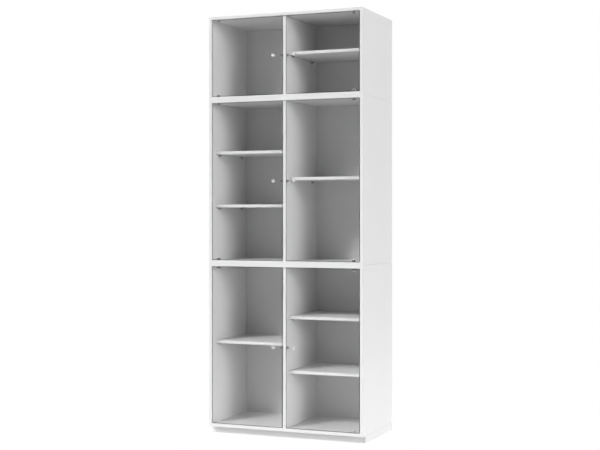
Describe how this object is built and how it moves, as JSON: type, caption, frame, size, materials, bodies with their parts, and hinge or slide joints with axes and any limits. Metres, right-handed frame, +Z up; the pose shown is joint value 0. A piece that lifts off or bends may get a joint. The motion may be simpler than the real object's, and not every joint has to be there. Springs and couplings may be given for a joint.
{
  "type": "glass door bookcase",
  "caption": "Tall white bookcase of stacked cases on a recessed plinth, with adjustable shelves behind inset frameless glass doors that swing on pivot hinges.",
  "frame": {"origin": "on the floor, at the middle of the width and of the overall depth from knobs to rear edges", "axes": "+Z up, +Y towards the wall behind, +X to the right as seen from the front"},
  "size_m": [0.696, 0.389, 1.7769],
  "materials": {
    "board_lacquer": "fibreboard in smooth satin white lacquer",
    "plinth_lacquer": "fibreboard in smooth satin white lacquer",
    "door_glass": "clear toughened float glass with polished edges",
    "hinge_metal": "satin chromed zinc",
    "knob_metal": "polished chrome",
    "catch_plastic": "moulded dark grey plastic around a magnet"
  },
  "bodies": {
    "cabinet": {"plinth_front": "plinth_lacquer", "plinth_left": "plinth_lacquer", "plinth_right": "plinth_lacquer", "plinth_back": "plinth_lacquer", "lower_left_side": "board_lacquer", "lower_right_side": "board_lacquer", "lower_bottom_panel": "board_lacquer", "lower_top_panel": "board_lacquer", "lower_divider": "board_lacquer", "lower_back_panel": "board_lacquer", "lower_left_shelf_1": "board_lacquer", "lower_left_catch": "catch_plastic", "lower_right_shelf_1": "board_lacquer", "lower_right_shelf_2": "board_lacquer", "lower_right_catch": "catch_plastic", "middle_left_side": "board_lacquer", "middle_right_side": "board_lacquer", "middle_bottom_panel": "board_lacquer", "middle_top_panel": "board_lacquer", "middle_divider": "board_lacquer", "middle_back_panel": "board_lacquer", "middle_left_shelf_1": "board_lacquer", "middle_left_shelf_2": "board_lacquer", "middle_left_catch": "catch_plastic", "middle_right_shelf_1": "board_lacquer", "middle_right_catch": "catch_plastic", "upper_left_side": "board_lacquer", "upper_right_side": "board_lacquer", "upper_bottom_panel": "board_lacquer", "upper_top_panel": "board_lacquer", "upper_divider": "board_lacquer", "upper_back_panel": "board_lacquer", "upper_left_catch": "catch_plastic", "upper_right_shelf_1": "board_lacquer", "upper_right_catch": "catch_plastic"},
    "lower_left_door": {"lower_left_door_glass": "door_glass", "lower_left_door_knob": "knob_metal", "lower_left_hinge_top": "hinge_metal", "lower_left_hinge_bottom": "hinge_metal"},
    "lower_right_door": {"lower_right_door_glass": "door_glass", "lower_right_door_knob": "knob_metal", "lower_right_hinge_top": "hinge_metal", "lower_right_hinge_bottom": "hinge_metal"},
    "middle_left_door": {"middle_left_door_glass": "door_glass", "middle_left_door_knob": "knob_metal", "middle_left_hinge_top": "hinge_metal", "middle_left_hinge_bottom": "hinge_metal"},
    "middle_right_door": {"middle_right_door_glass": "door_glass", "middle_right_door_knob": "knob_metal", "middle_right_hinge_top": "hinge_metal", "middle_right_hinge_bottom": "hinge_metal"},
    "upper_left_door": {"upper_left_door_glass": "door_glass", "upper_left_door_knob": "knob_metal", "upper_left_hinge_top": "hinge_metal", "upper_left_hinge_bottom": "hinge_metal"},
    "upper_right_door": {"upper_right_door_glass": "door_glass", "upper_right_door_knob": "knob_metal", "upper_right_hinge_top": "hinge_metal", "upper_right_hinge_bottom": "hinge_metal"}
  },
  "joints": [
    {"name": "lower_left_door_hinge", "type": "hinge", "parent": "cabinet", "child": "lower_left_door", "pos_m": [-0.307, -0.175, 0.3783], "axis": [0, 0, -1], "range_deg": [0, 110]},
    {"name": "lower_right_door_hinge", "type": "hinge", "parent": "cabinet", "child": "lower_right_door", "pos_m": [0.307, -0.175, 0.3783], "axis": [0, 0, 1], "range_deg": [0, 110]},
    {"name": "middle_left_door_hinge", "type": "hinge", "parent": "cabinet", "child": "middle_left_door", "pos_m": [-0.307, -0.175, 1.0746], "axis": [0, 0, -1], "range_deg": [0, 110]},
    {"name": "middle_right_door_hinge", "type": "hinge", "parent": "cabinet", "child": "middle_right_door", "pos_m": [0.307, -0.175, 1.0746], "axis": [0, 0, 1], "range_deg": [0, 110]},
    {"name": "upper_left_door_hinge", "type": "hinge", "parent": "cabinet", "child": "upper_left_door", "pos_m": [-0.307, -0.175, 1.5999], "axis": [0, 0, -1], "range_deg": [0, 110]},
    {"name": "upper_right_door_hinge", "type": "hinge", "parent": "cabinet", "child": "upper_right_door", "pos_m": [0.307, -0.175, 1.5999], "axis": [0, 0, 1], "range_deg": [0, 110]}
  ]
}
